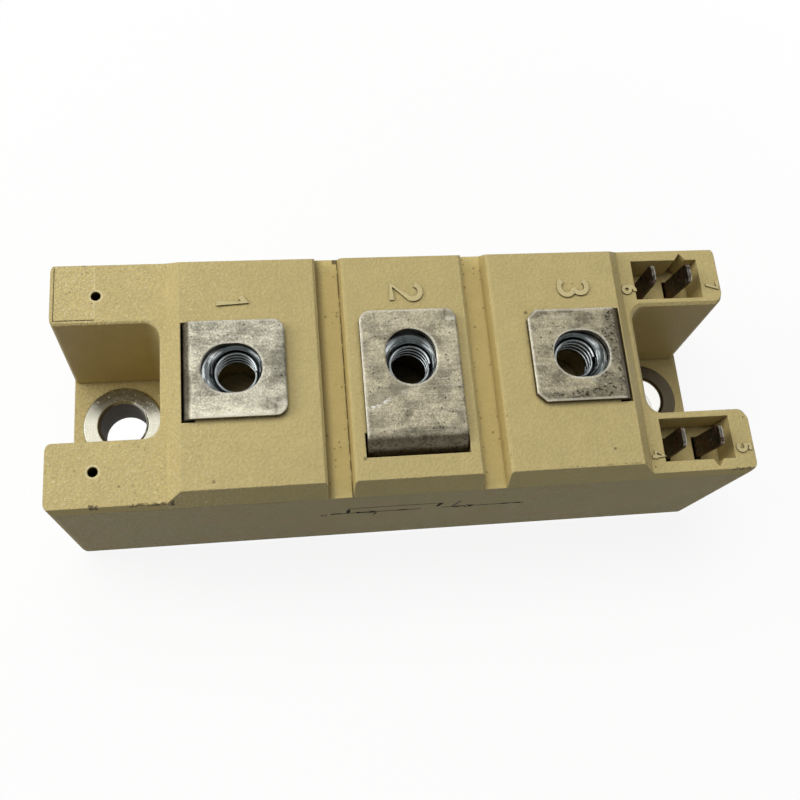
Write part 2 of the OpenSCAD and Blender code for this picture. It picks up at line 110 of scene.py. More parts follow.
class Graph:
    """A node tree, shader or geometry, and the one way its nodes are added."""

    def __init__(self, tree):
        self.tree = tree

    def node(self, kind, settings=None, sockets=None):
        """Adds a node: its settings first, then the values or links of its sockets."""
        made = self.tree.nodes.new(kind)
        for name, value in (settings or {}).items():
            setattr(made, name, value)
        for name, value in (sockets or {}).items():
            if isinstance(value, Value):
                value = value.socket
            if isinstance(value, bpy.types.NodeSocket):
                self.tree.links.new(value, made.inputs[name])
            else:
                made.inputs[name].default_value = value
        return made

    def math(self, operation, *terms):
        """The number that a Math node makes of its terms."""
        made = self.node("ShaderNodeMath", {"operation": operation}, dict(enumerate(terms)))
        return Value(self, made.outputs[0])

    def mixed(self, share, under, over):
        """Two shader nodes mixed: under at share 0, over at 1."""
        return self.node("ShaderNodeMixShader", {},
                         {0: share, 1: under.outputs[0], 2: over.outputs[0]})

    def ray(self, kind):
        """1 for rays of that kind, such as Camera or Glossy."""
        return Value(self, self.node("ShaderNodeLightPath").outputs[f"Is {kind} Ray"])

    def least(self, a, b):
        return self.math("MINIMUM", a, b)

    def most(self, a, b):
        return self.math("MAXIMUM", a, b)

    def split(self, vector):
        """The three parts of a vector, as numbers."""
        parts = self.node("ShaderNodeSeparateXYZ", sockets={0: vector})
        return [Value(self, out) for out in parts.outputs]

    def join(self, x, y, z):
        return self.node("ShaderNodeCombineXYZ", sockets={0: x, 1: y, 2: z}).outputs[0]

    def length(self, vector):
        made = self.node("ShaderNodeVectorMath", {"operation": "LENGTH"}, {0: vector})
        return Value(self, made.outputs["Value"])

    def dot(self, a, b):
        """How far two directions agree: 1 where they are the same."""
        made = self.node("ShaderNodeVectorMath", {"operation": "DOT_PRODUCT"}, {0: a, 1: b})
        return Value(self, made.outputs["Value"])

    def smooth(self, value, low, high):
        """0 at low, 1 at high and a soft step between them."""
        made = self.node("ShaderNodeMapRange", {"interpolation_type": "SMOOTHSTEP"},
                         {"Value": value, "From Min": low, "From Max": high})
        return Value(self, made.outputs[0])


class Finish(Graph):
    """A material whose patterns are laid out in millimetres of the object's own frame."""

    def __init__(self, name):
        self.material = bpy.data.materials.new(name)
        self.material.use_nodes = True
        super().__init__(self.material.node_tree)
        self.tree.nodes.clear()
        place = self.node("ShaderNodeTexCoord").outputs["Object"]
        self.mm = self.node("ShaderNodeVectorMath", {"operation": "SCALE"},
                            {0: place, "Scale": 1 / MM}).outputs["Vector"]
        self.x, self.y, self.z = self.split(self.mm)
        self.facing = self.node("ShaderNodeNewGeometry").outputs["Normal"]

    def near(self, value, centre, half, soft):
        """1 within half of centre, and 0 from half plus soft."""
        return 1 - self.smooth(abs(value - centre), half, half + soft)

    def mix(self, under, over, share):
        """over laid on under, share from 0 to 1."""
        made = self.node("ShaderNodeMix", {"data_type": "RGBA"},
                         {0: share, 6: rgba(under), 7: rgba(over)})
        return made.outputs[2]

    def times(self, colour, value):
        """A colour made lighter or darker by a number."""
        grey = self.join(value, value, value)
        made = self.node("ShaderNodeMix", {"data_type": "RGBA", "blend_type": "MULTIPLY"},
                         {0: 1.0, 6: rgba(colour), 7: grey})
        return made.outputs[2]

    def cloud(self, scale, detail=2.0, rough=0.5, place=None, distortion=0.0):
        """Soft noise round 0.5, scale in features per millimetre."""
        made = self.node("ShaderNodeTexNoise", {"noise_dimensions": "3D"},
                         {"Vector": place or self.mm, "Scale": scale, "Detail": detail,
                          "Roughness": rough, "Distortion": distortion})
        return Value(self, made.outputs[0])

    def specks(self, scale, size, share, soft):
        """Scattered dots: share of the cells hold one, size is a part of a cell."""
        cells = self.node("ShaderNodeTexVoronoi", {"feature": "F1"},
                          {"Vector": self.mm, "Scale": scale})
        pick, grow, _ = [Value(self, out) for out in self.node(
            "ShaderNodeSeparateColor", sockets={0: cells.outputs["Color"]}).outputs]
        reach = size * (0.5 + grow * 0.7)
        dot = 1 - self.smooth(Value(self, cells.outputs["Distance"]) / reach, 1 - soft, 1.0)
        return dot * (pick < share)

    def turned(self, angle, stretch):
        """A pattern's place, turned about +Z by angle in degrees and drawn out along X."""
        made = self.node("ShaderNodeMapping", {"vector_type": "POINT"},
                         {"Vector": self.mm, "Rotation": (0, 0, math.radians(angle)),
                          "Scale": (1 / stretch, 1, 1)})
        return made.outputs[0]

    def scratches(self, angle, scale, width, stretch, share):
        """Fine broken lines that run mostly one way, each stretch times as long as it is wide."""
        drift = self.cloud(scale, 1.0, 0.4, self.turned(angle, stretch), 0.15)
        line = 1 - self.smooth(abs(drift - 0.5), width * 0.3, width)
        gaps = self.smooth(self.cloud(scale * 0.6, 1.0, 0.5), 1 - share - 0.06, 1 - share + 0.06)
        return line * gaps

    def rounded(self, radius):
        """The surface's normal with its edges rounded, radius in millimetres."""
        made = self.node("ShaderNodeBevel", {"samples": 4}, {"Radius": radius * MM})
        return made.outputs[0]

    def edges(self, rounded, low, high):
        """1 along sharp edges, found where the rounded normal leaves the flat one."""
        return self.smooth(1 - self.dot(rounded, self.facing), low, high)

    def bumped(self, height, depth, normal):
        """A normal raised by height times depth, in millimetres."""
        made = self.node("ShaderNodeBump", {},
                         {"Height": height, "Distance": depth * MM, "Strength": 1.0,
                          "Normal": normal})
        return made.outputs[0]

    def surface(self, fixed=None, **varied):
        """Ends the material: fixed are the shader's constants, varied its linked sockets."""
        sockets = dict(fixed or {})
        sockets.update({name.replace("_", " "): socket for name, socket in varied.items()})
        shader = self.node("ShaderNodeBsdfPrincipled", {}, sockets)
        self.node("ShaderNodeOutputMaterial", {}, {"Surface": shader.outputs[0]})
        return self.material


def rgba(colour):
    """A colour for a socket: three numbers gain an alpha, and a link stays as it is."""
    return (*colour, 1.0) if isinstance(colour, tuple) else colour


# ---------------------------------------------------------------- measures from the CAD

def middle(node):
    low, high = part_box(node)
    return (low + high) / 2 / MM


def top(node):
    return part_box(node)[1].z / MM


# all in millimetres
front_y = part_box("housing")[0].y / MM
block_top = top("housing")
hole_x = middle("bush_right").x
screw_x = [middle(f"nut_{number}").x for number in (1, 2, 3)]
screw_pitch = screw_x[2] - screw_x[1]
thread = next(m for m in frame["record"]["mounts"] if m["name"] == "terminal_1_thread")
thread_r = thread["dims"]["r_mm"]

# steps inside the moulding, which no node's box gives
arm_top = 27.1
shoulder = 25.9
middle_block = 8.45
outer_block = 11.95
bevel_foot = 32.0
vent_x, vent_y, vent_r = -41.1, 12.0, 0.65
# the mould's loose insert left its outline in the top of the back left arm
insert_x, insert_y = -43.9, 12.4
insert_long, insert_wide = 2.6, 3.9


# ---------------------------------------------------------------- finishes

CREAM = (0.562, 0.459, 0.207)
SUNLIT_CREAM = (0.66, 0.56, 0.29)
PALE = (0.84, 0.74, 0.47)
GROOVE = (0.70, 0.565, 0.235)
OCHRE = (0.54, 0.39, 0.135)
WALL_SHADE_BROWN = (0.36, 0.25, 0.12)
WALL_SHADE_GREEN = (0.30, 0.29, 0.13)
GRIME_AND_SHADE = (0.085, 0.062, 0.03)
UNLIT = (0.02, 0.014, 0.006)
BARE_METAL = (0.92, 0.90, 0.82)
BORE_SHADE_BROWN = (0.075, 0.060, 0.040)

# chips and dots on the tops of the arms: x, y and reach
MARKS = [(-41.2, -16.4, 0.42), (-40.6, -16.5, 0.3), (-31.4, -16.55, 0.3), (46.7, -13.1, 0.13),
         (46.7, -13.7, 0.13), (32.6, -13.9, 0.15), (32.4, -15.6, 0.15), (46.3, -9.3, 0.15)]


def moulding_zones(f):
    """Masks from 0 to 1 that say which part of the moulding a place is on."""
    up = f.split(f.facing)[2]
    level = f.smooth(up, 0.5, 0.9)
    wall = f.smooth(abs(f.y), -front_y - 0.6, -front_y - 0.1) * (1 - f.smooth(abs(up), 0.1, 0.3))
    # sliding cores leave the sockets and notches smoother than the rest, and they are painted
    # browner: partly their own tint, partly painted shade
    core_wall = f.smooth(abs(f.x), bevel_foot + 0.2, bevel_foot + 0.8)
    core_wall = core_wall * (1 - f.smooth(up, 0.3, 0.6)) * (1 - wall)
    groove_x = (middle_block + outer_block) / 2
    in_groove = f.near(abs(f.x), groove_x, outer_block - groove_x + 0.05, 0.1)
    groove_floor = in_groove * f.near(f.z, shoulder, 0.3, 0.3) * level
    groove_side = in_groove * f.near(f.z, block_top, block_top - shoulder, 0.1) * (1 - level)
    insert = f.near(f.x, insert_x, insert_long, 0.1) * f.near(f.y, insert_y, insert_wide, 0.1)
    from_vent = ((f.x - vent_x) ** 2 + (abs(f.y) - vent_y) ** 2) ** 0.5
    corner = Value(f, f.node("ShaderNodeAmbientOcclusion", {"samples": 6},
                             {"Distance": 1.1 * MM}).outputs["AO"])
    return SimpleNamespace(up=up, level=level, wall=wall, core_wall=core_wall, in_groove=in_groove,
                           groove_floor=groove_floor, groove_side=groove_side, insert=insert * level,
                           from_vent=from_vent, corner=corner)


def moulding_grime_and_shade(f, zone, dirt):
    """Dirt and painted shade: painted shade in inner corners and along the left feet of the groove
    walls, a thin broken dark line along one foot, and dirt on rubbed edges and in chips.
    """
    # painted shade in inner corners, found by ambient occlusion and varied by the dirt cloud
    grime_and_shade = f.smooth(zone.corner, 0.74, 0.30) * (0.35 + dirt * 0.75) * (1 - zone.in_groove * 0.6)

    # a thin broken line along one foot, and a shade along the left foot of each groove
    line = f.near(f.x, -middle_block - 0.17, 0.05, 0.12) * f.near(f.z, shoulder, 0.15, 0.25)
    grime_and_shade = f.most(grime_and_shade, line * f.smooth(dirt, 0.34, 0.50) * 0.9)
    left_foot = f.most(f.near(f.x, -outer_block, 0.15, 1.3), f.near(f.x, middle_block, 0.1, 0.95))
    grime_and_shade = f.most(grime_and_shade, left_foot * zone.groove_floor * 0.62)

    # a corner has chipped off the floor of the left groove, at its back end
    chip = f.near(f.x, -8.95, 0.25, 0.2) * f.smooth(f.y, -front_y - 0.85, -front_y - 0.5)
    grime_and_shade = f.most(grime_and_shade, chip * f.near(f.z, shoulder, 0.2, 0.2) * 0.95)

    # dotted dirt along the front edges of both front arms and of the third block
    left_arm = f.near(f.x, -34.0, 2.4, 0.4)
    right_arm = f.near(f.x, 44.6, 1.6, 0.4)
    third_block = f.near(f.x, 25.0, 5.0, 2.0)
    rub = f.near(f.y, front_y + 0.5, 0.1, 0.12) * f.most(right_arm, left_arm)
    rub = f.most(rub, f.near(f.y, front_y + 1.55, 0.06, 0.1) * third_block * 0.4)
    dotted = f.smooth(f.cloud(1.6, 1.0), 0.46, 0.56)
    grime_and_shade = f.most(grime_and_shade, rub * dotted * f.smooth(zone.up, 0.2, 0.4))

    ragged = f.cloud(2.6, 3.0, 0.6)
    for x, y, reach in MARKS:
        away = ((f.x - x) ** 2 + (f.y - y) ** 2) ** 0.5 + (ragged - 0.5) * reach * 3.0
        mark = f.smooth(away, reach, reach * 0.5) * f.near(f.z, arm_top, 0.5, 0.2)
        grime_and_shade = f.most(grime_and_shade, mark)
    return f.least(grime_and_shade, 0.88)


def moulding_hollows(f, zone):
    """Painted shade in the blind wells under the three screws and in the two vents, which no light
    reaches.
    """
    well_r, well_z, well_half = 3.5, 18.0, 4.4
    off_screw = (f.math("PINGPONG", f.x, screw_pitch / 2) ** 2 + f.y ** 2) ** 0.5
    well = f.near(off_screw, 0, well_r, 0.3) * f.near(f.z, well_z, well_half, 0.6)
    well = well * f.near(f.x, 0, screw_pitch + 5, 1)
    # the middle well gets the darkest painted shade
    well = well * (0.35 + f.near(f.x, 0, middle_block - 0.45, 1) * 0.6)
    vent = f.near(zone.from_vent, 0, vent_r + 0.02, 0.03)
    vent = vent * (1 - f.smooth(f.z, arm_top - 0.3, arm_top - 0.1))
    return f.least(well + vent, 1.0) * 0.9


def moulded_plastic():
    """Spark-eroded cream plastic: sparkling grain, a painted highlight along edges, grooves painted
    paler and more ochre, dirt and painted shade in corners, and painted shade on the long walls.
    """
    f = Finish("moulded_plastic")
    zone = moulding_zones(f)
    soft_edge = f.rounded(0.22)
    slow = f.cloud(0.045, 1.0)
    blotch = f.cloud(0.35, 3.0, 0.6)
    grain = f.smooth(f.cloud(2.5, 2.0, 0.6), 0.36, 0.64)
    sparkle = f.smooth(f.cloud(3.4, 2.0, 0.55, distortion=0.6), 0.53, 0.66)
    pores = f.smooth(f.cloud(1.9, 3.0, 0.65, f.turned(30, 1.0)), 0.64, 0.72)
    dirt = f.cloud(0.9, 3.0, 0.65)

    # the plain arms and the first block have the coarsest grain, and the insert coarser still
    coarse = f.smooth(f.x, -14, -36) * 0.7 + 0.18 + zone.insert * 0.6
    coarse = coarse * (1 - zone.core_wall * 0.85)
    tone = 0.735 + slow * 0.08 + blotch * 0.18 + grain * (0.06 + coarse * 0.09)
    tone = tone + coarse * 0.065 - pores * (0.04 + coarse * 0.16)
    colour = f.times(CREAM, tone)
    colour = f.mix(colour, PALE, sparkle * coarse * 0.5)
    # groove floors and walls painted paler and more ochre: the ochre is their own tint, the paleness
    # painted light where the narrow grooves fall into shade
    colour = f.mix(colour, GROOVE, zone.groove_floor * (0.25 + blotch * 0.4) + zone.groove_side * 0.6)

    # painted shade on the long walls, in blotches: faintly brown, with greener patches
    wall_shade = f.mix(WALL_SHADE_BROWN, WALL_SHADE_GREEN, f.smooth(f.cloud(0.16, 2.0), 0.4, 0.6))
    colour = f.mix(colour, wall_shade, zone.wall * (0.08 + blotch * 0.5))
    # the socket and notch walls painted browner: partly their own tint, partly painted shade
    colour = f.mix(colour, OCHRE, zone.core_wall * 0.25)
    # dirt, and painted shade in corners and along the left feet of the grooves
    colour = f.mix(colour, GRIME_AND_SHADE, moulding_grime_and_shade(f, zone, dirt))
    colour = f.mix(colour, UNLIT, moulding_hollows(f, zone))
    # painted highlight along the convex edges, kept out of inner corners
    edge_highlight = f.edges(soft_edge, 0.02, 0.2) * f.smooth(zone.corner, 0.6, 0.85)
    colour = f.mix(colour, SUNLIT_CREAM, edge_highlight * (0.25 + f.cloud(1.3, 2.0) * 0.5))

    # flash round the vents and beside the insert, and the line where the side core met the cavity
    seam = f.near(f.x, insert_x + insert_long, 0.05, 0.12)
    seam = seam * f.near(f.y, insert_y, insert_wide - 0.1, 0.2)
    flash = f.near(zone.from_vent, vent_r + 0.19, 0.05, 0.1) * zone.level
    flash = f.most(flash, seam * zone.level * dirt)
    colour = f.mix(colour, PALE, flash * 0.62)
    parting = f.near(f.z, shoulder - 0.05, 0.03, 0.07) * zone.wall * f.near(f.x, -23.4, 8.0, 0.3)
    colour = f.mix(colour, GRIME_AND_SHADE, parting * 0.8)

    # stray dots of dirt, dark specks on the groove floors, and hairs of old scratches
    dots = f.specks(0.42, 0.16, 0.10, 0.7) * zone.level
    grit = f.specks(1.3, 0.30, 0.30, 0.6) * zone.groove_floor
    hairs = f.scratches(62, 0.9, 0.012, 10, 0.2) * zone.level
    colour = f.mix(colour, GRIME_AND_SHADE, f.least(dots * 0.7 + hairs * 0.30 + grit * 0.5, 0.9))

    height = grain * 0.7 + sparkle * coarse * 0.8 - pores * coarse - hairs * 0.5
    height = height * (1 - zone.core_wall * 0.7)
    rough = 0.46 + grain * 0.16 + zone.wall * 0.1 - sparkle * coarse * 0.16 - edge_highlight * 0.1
    return f.surface({"Specular IOR Level": 0.22}, Base_Color=colour, Roughness=rough,
                     Normal=f.bumped(height, 0.05, soft_edge))


def numeral_plastic():
    """The same cream on the raised terminal numbers, with a painted highlight on their tops and
    painted shade down their sides.
    """
    f = Finish("numeral_plastic")
    cloud = f.cloud(1.4, 3.0, 0.6)
    crown = f.smooth(f.split(f.facing)[2], 0.80, 0.97)
    # painted shade down the numbers' sides, and a painted highlight on their flat tops
    side = (0.19, 0.145, 0.06)
    colour = f.mix(side, f.times(SUNLIT_CREAM, 0.72 + cloud * 0.28), crown * 0.92 + 0.08)
    return f.surface({"Specular IOR Level": 0.42}, Base_Color=colour, Roughness=0.44 + cloud * 0.2,
                     Normal=f.bumped(cloud, 0.03, f.rounded(0.1)))


def strip_edges(f, colour, soft_edge, fold, bend, fine):
    """Painted highlight on the cut edges turned to the window glow, and painted shade on those turned
    to the sockets. The edge where the strip folds down is not a cut one."""
    lean_x, lean_y, _ = f.split(soft_edge)
    shine = lean_y * 0.6
    if fold != "front":
        shine = f.most(shine, lean_y * -0.7)
    if fold != "left":
        shine = f.most(shine, lean_x * -1)
    # painted highlight along the cut edges that face the glow, but not on the bend
    rim = f.smooth(shine, 0.015, 0.12) * (1 - bend)
    colour = f.mix(colour, (1.0, 0.97, 0.84), rim * (0.7 + fine * 0.3))
    # painted shade on the cut edges turned to the sockets
    if fold != "right":
        colour = f.mix(colour, (0.09, 0.07, 0.045), f.smooth(lean_x, 0.25, 0.6) * 0.75)
    return colour


def plated_strip(plate, fold, tint, contrast, soiled, scratched, marks, front=0.0, dented=False):
    """Tin-plated copper strip, speckled and marked by hands.

    plate is its node and fold the side where it turns down into its slot. soiled says how
    grey and pitted it has gone, and scratched which way its scratches run. marks are ovals
    in the plan where pits gather: x, y, half length and half width. front is how much
    painted highlight brightens its front end."""
    f = Finish("plated_strip_" + plate[-1])
    soft_edge = f.rounded(0.50)
    blotch = f.cloud(0.42, 3.0, 0.62)
    mottle = f.smooth(f.cloud(2.1, 4.0, 0.75), 0.34, 0.66)
    fine = f.smooth(f.cloud(4.2, 2.0, 0.7), 0.38, 0.66)
    smear = f.smooth(f.cloud(1.3, 3.0, 0.7, f.turned(scratched, 6.0)), 0.32, 0.68)
    pins = f.specks(1.5, 0.24, 0.40, 0.5)
    rubs = f.scratches(20, 0.55, 0.02, 8, 0.45)
    hairs = f.scratches(scratched, 1.1, 0.011, 14, 0.35)
    marked = 0.0
    for x, y, long, wide in marks:
        oval = (((f.x - x) / long) ** 2 + ((f.y - y) / wide) ** 2) ** 0.5
        marked = f.most(marked, f.smooth(oval + (blotch - 0.5) * 1.4, 1.05, 0.45))

    tone = 1.0 + contrast * (mottle * 0.16 + fine * 0.42 + smear * 0.30 + blotch * 1.1 - 1.0)
    # front adds a painted highlight towards the front end
    colour = f.times(tint, tone + f.smooth(f.y, -3.0, -7.5) * front)
    grey = f.most(f.smooth(blotch, 0.50, 0.40) * soiled, marked)
    colour = f.mix(colour, tuple(part * 0.3 for part in tint), grey * (0.28 + mottle * 0.6))
    pitting = f.cloud(2.4, 3.0, 0.7, f.turned(70, 1.3)) + marked * soiled * 0.17
    dark = f.most(pins, f.smooth(pitting, 0.67, 0.75))
    colour = f.mix(colour, (0.03, 0.024, 0.016), f.least(dark * (0.6 + soiled * 0.35), 0.92))
    glints = f.smooth(f.cloud(2.9, 2.0, 0.6, f.turned(40, 1.0)) + marked * 0.02, 0.62, 0.74)
    colour = f.mix(colour, (0.92, 0.90, 0.78), f.least(glints * contrast * 0.55 + rubs * 0.25, 1.0))
    colour = f.mix(colour, (0.06, 0.048, 0.034), hairs * 0.55)
    if dented:
        # a bright dent across the plate near its bend, with grey from handling above it
        from_dent = f.y - f.x * 0.44 + 3.75 + (blotch - 0.5) * 1.2
        smudge = f.near(from_dent, 0.9, 0.5, 0.9) * f.near(f.x, -1.0, 4.2, 1.5)
        colour = f.mix(colour, (0.17, 0.155, 0.12), smudge * (0.2 + mottle * 0.4))
        dent = f.near(from_dent, 0.0, 0.10, 0.22) * f.near(f.x, -4.9, 1.3, 0.5)
        colour = f.mix(colour, (0.95, 0.94, 0.88), dent * f.smooth(fine, 0.2, 0.8))

    # painted shade where the strip turns down, darker still in a crust-like pattern
    bend = f.smooth(f.z, top(plate) - 0.01, top(plate) - 0.28)
    crust = f.smooth(abs(f.cloud(0.9, 3.0, 0.6) - 0.5), 0.035, 0.01)
    colour = f.mix(colour, (0.095, 0.078, 0.052), bend * 0.88)
    colour = f.mix(colour, (0.04, 0.03, 0.02), bend * crust * 0.7)

    colour = strip_edges(f, colour, soft_edge, fold, bend, fine)
    height = mottle * 0.35 + fine * 0.2 + blotch * 0.4 - dark * 0.9 - hairs * 0.8
    return f.surface({"Metallic": 0.92, "Specular IOR Level": 0.5}, Base_Color=colour,
                     Roughness=0.28 + mottle * 0.10 + dark * 0.25 + bend * 0.12 - rubs * 0.08,
                     Normal=f.bumped(height, 0.03 * contrast, soft_edge))


def zinc_steel(name, ridged):
    """Bluish zinc with oil patches. What was turned gets a painted reflection, bright at the left and
    right of the bore, with painted shade at its front and back; on the wound ridges the crests get a
    painted highlight and the roots painted shade."""
    f = Finish(name)
    mottle = f.cloud(1.8, 3.0, 0.6)
    across = f.math("PINGPONG", f.x, screw_pitch / 2)
    radius = (across ** 2 + f.y ** 2) ** 0.5
    side = f.smooth(across / radius, 0.35, 0.9)
    streak = f.smooth(f.cloud(2.6, 2.0, 0.6, f.join(radius, f.y * 0.16, f.z)), 0.44, 0.62)
    # painted reflection: bright glances at the sides of the bore and painted shade at its front and
    # back; on ridges a painted highlight on the crests and painted shade in the roots
    if ridged:
        painted_glance = f.smooth(radius, thread_r - 0.16, thread_r - 0.38) * (0.30 + side * 0.7)
    else:
        painted_glance = side * (0.08 + streak * 0.72)
    bright = f.times((0.80, 0.86, 0.89), 0.6 + mottle * 0.4 + streak * 0.2)
    colour = f.mix((0.030, 0.040, 0.040), bright, f.least(painted_glance * 0.92 + 0.08, 1.0))
    oil = f.smooth(f.cloud(0.9, 2.0), 0.52, 0.70)
    colour = f.mix(colour, (0.035, 0.035, 0.032), oil * 0.4)
    return f.surface({"Metallic": 1.0}, Base_Color=colour,
                     Roughness=0.12 + mottle * 0.12 + oil * 0.10,
                     Normal=f.bumped(streak * 0.4 + mottle * 0.5, 0.03, f.rounded(0.12)))


def turned_steel():
    """Turned steel: fine rings round each bush's axis. The bush by the sockets is painted in a dark
    brown shade.
    """
    f = Finish("turned_steel")
    face = top("bush_left")
    across = abs(f.x) - hole_x
    radius = (across * across + f.y * f.y) ** 0.5
    rings = f.cloud(5.5, 2.0, 0.6, f.join(radius, 0.0, 0.0))
    mottle = f.cloud(1.1, 3.0, 0.6)
    glints = f.specks(2.4, 0.5, 0.5, 0.6)
    brown = f.smooth(f.x, -1, 1)
    # painted shade on the back of the ring, which turns away from the window
    away = f.smooth(f.y / radius + rings * 0.5 - 0.25, 0.0, 0.75)
    tone = 0.64 + rings * 0.44 + mottle * 0.2 + glints * 0.3 - away * 0.52
    colour = f.times((0.80, 0.78, 0.65), tone)
    # painted shade: the bush by the sockets is painted dark brown
    bush_shade_brown = f.times((0.095, 0.074, 0.045), 0.7 + rings * 0.4 + mottle * 0.3)
    colour = f.mix(colour, bush_shade_brown, brown * 0.95)
    spots = f.specks(1.0, 0.25, 0.3, 0.7)
    colour = f.mix(colour, (0.12, 0.09, 0.06), spots * 0.6)
    # the bore is painted dark brown shade at the plain end, and near white at the sockets
    inside = f.smooth(f.z, face - 0.2, face - 0.5)
    # the lip round the plain end's bore gets the same painted shade, but for the part that catches
    # the window
    lip = f.smooth(f.z, face - 0.03, face - 0.12) * f.smooth(radius, 4.6, 4.3)
    bore_and_lip = f.most(inside, lip * f.smooth(f.x + hole_x + f.y, 2.6, 1.2))
    bore_shade = bore_and_lip * (1 - brown)
    bore = f.most(inside * brown, bore_shade)
    colour = f.mix(colour, f.mix(BORE_SHADE_BROWN, (0.95, 0.94, 0.90), brown), bore)
    height = rings + mottle * 0.2 + glints * 0.4 - spots
    return f.surface({}, Metallic=1.0 - bore_shade * 0.85, Base_Color=colour,
                     Roughness=0.10 + mottle * 0.10 + bore_shade * 0.6 + brown * (1 - inside) * 0.2,
                     Normal=f.bumped(height, 0.016, f.rounded(0.14)))


def tarnished_tab():
    """Plating gone dark brown, rubbed bright along the cut rim."""
    f = Finish("tarnished_tab")
    soft_edge = f.rounded(0.2)
    mottle = f.cloud(1.6, 3.0, 0.62)
    patch = f.cloud(0.5, 2.0)
    colour = f.mix((0.030, 0.022, 0.014), (0.10, 0.078, 0.055), f.smooth(mottle, 0.35, 0.75))
    # the outer edge of the cut tip is rubbed bare, in broken patches
    lean_x, _, lean_z = f.split(soft_edge)
    outer = f.smooth(lean_x, 0.10, 0.32) * 0.85 + f.smooth(lean_z, 0.4, 0.8) * 0.15
    bare = f.smooth(lean_z, 0.1, 0.4) * outer * f.smooth(f.cloud(1.7, 2.0), 0.36, 0.5)
    colour = f.mix(colour, BARE_METAL, bare)
    colour = f.mix(colour, (0.105, 0.042, 0.022), f.smooth(patch, 0.45, 0.6) * (1 - bare) * 0.6)
    return f.surface({"Metallic": 0.85}, Base_Color=colour, Roughness=0.30 + patch * 0.16,
                     Normal=f.bumped(mottle, 0.02, soft_edge))


def nickelled_base():
    """Satin nickel over copper, lapped one way, with pin marks and a warm bloom."""
    f = Finish("nickelled_base")
    lap = f.cloud(3.2, 2.0, 0.6, f.turned(4, 26))
    blotch = f.cloud(0.12, 3.0, 0.55)
    pins = f.specks(0.8, 0.18, 0.2, 0.7)
    long_scratch = f.scratches(31, 0.5, 0.012, 18, 0.4)
    colour = f.times((0.60, 0.585, 0.54), 0.80 + lap * 0.22 + blotch * 0.14)
    colour = f.mix(colour, (0.40, 0.34, 0.26), f.smooth(blotch, 0.55, 0.8) * 0.3)
    colour = f.mix(colour, (0.16, 0.14, 0.11), f.least(pins * 0.5 + long_scratch * 0.3, 1.0))
    # its two bores go on from the bushes' bores, so they are painted as those are: dark brown shade
    # at the plain end, near white at the sockets
    from_hole = ((abs(f.x) - hole_x) ** 2 + f.y ** 2) ** 0.5
    bore = f.near(from_hole, 0, 3.5, 0.1) * (1 - f.smooth(abs(f.split(f.facing)[2]), 0.3, 0.6))
    bore_shade = bore * f.smooth(f.x, 1, -1)
    colour = f.mix(colour, f.mix((0.90, 0.88, 0.83), BORE_SHADE_BROWN, bore_shade), bore * 0.95)
    return f.surface({}, Metallic=1.0 - bore_shade * 0.85, Base_Color=colour,
                     Roughness=0.28 + lap * 0.16 + blotch * 0.06 + bore_shade * 0.4,
                     Normal=f.bumped(lap - long_scratch * 0.6 - pins, 0.012, f.rounded(0.2)))


def inner_finish(name, colour, deep, scale, depth, roughness, metallic=0.0, fixed=None):
    """A mottled finish for a part inside the case: one colour clouded by a deeper one."""
    f = Finish(name)
    cloud = f.cloud(scale, 3.0, 0.6)
    fine = f.cloud(scale * 5, 2.0, 0.6)
    shade = f.mix(colour, deep, f.smooth(cloud, 0.35, 0.72))
    settings = {"Metallic": metallic, **(fixed or {})}
    return f.surface(settings, Base_Color=f.times(shade, 0.9 + fine * 0.2),
                     Roughness=roughness + fine * 0.15 - 0.07,
                     Normal=f.bumped(cloud * 0.5 + fine * 0.5, depth, f.rounded(0.08)))


def silicon():
    """Chips: grey-blue silicon under a grid of thin metal fingers."""
    f = Finish("silicon")
    finger_pitch = 0.6
    lane = f.math("PINGPONG", f.x, finger_pitch)
    finger = f.smooth(abs(lane - finger_pitch / 2), 0.06, 0.12)
    cloud = f.cloud(0.8, 2.0)
    colour = f.mix((0.06, 0.07, 0.10), (0.50, 0.50, 0.52), finger)
    return f.surface({"Metallic": 0.7}, Base_Color=f.times(colour, 0.85 + cloud * 0.3),
                     Roughness=0.22 + cloud * 0.2, Normal=f.bumped(finger, 0.01, f.rounded(0.05)))


# inner finishes: colour, deeper colour, clouds per millimetre, depth, roughness, metallic
INNER = {
    "adhesive": ((0.72, 0.70, 0.62), (0.60, 0.56, 0.46), 0.5, 0.05, 0.5),
    "tinned_copper": ((0.62, 0.59, 0.53), (0.50, 0.36, 0.25), 0.6, 0.02, 0.34, 1.0),
    "solder": ((0.45, 0.45, 0.45), (0.30, 0.30, 0.31), 0.9, 0.05, 0.42, 1.0),
    "bonded_copper": ((0.72, 0.40, 0.26), (0.50, 0.24, 0.15), 0.35, 0.02, 0.36, 1.0),
    "ceramic": ((0.86, 0.85, 0.81), (0.76, 0.74, 0.68), 0.7, 0.01, 0.45),
    "bond_wire": ((0.78, 0.78, 0.79), (0.60, 0.60, 0.62), 1.5, 0.01, 0.26, 1.0),
    "silicone_gel": ((0.80, 0.84, 0.82), (0.72, 0.77, 0.75), 0.2, 0.05, 0.2, 0.0,
                     {"Transmission Weight": 0.8, "IOR": 1.41}),
}
finishes = {slot: inner_finish(slot, *look) for slot, look in INNER.items()}
finishes.update(moulded_plastic=moulded_plastic(), nickelled_base=nickelled_base(),
                turned_steel=turned_steel(), zinc_steel=zinc_steel("zinc_nut", False),
                tarnished_tab=tarnished_tab(), silicon=silicon())

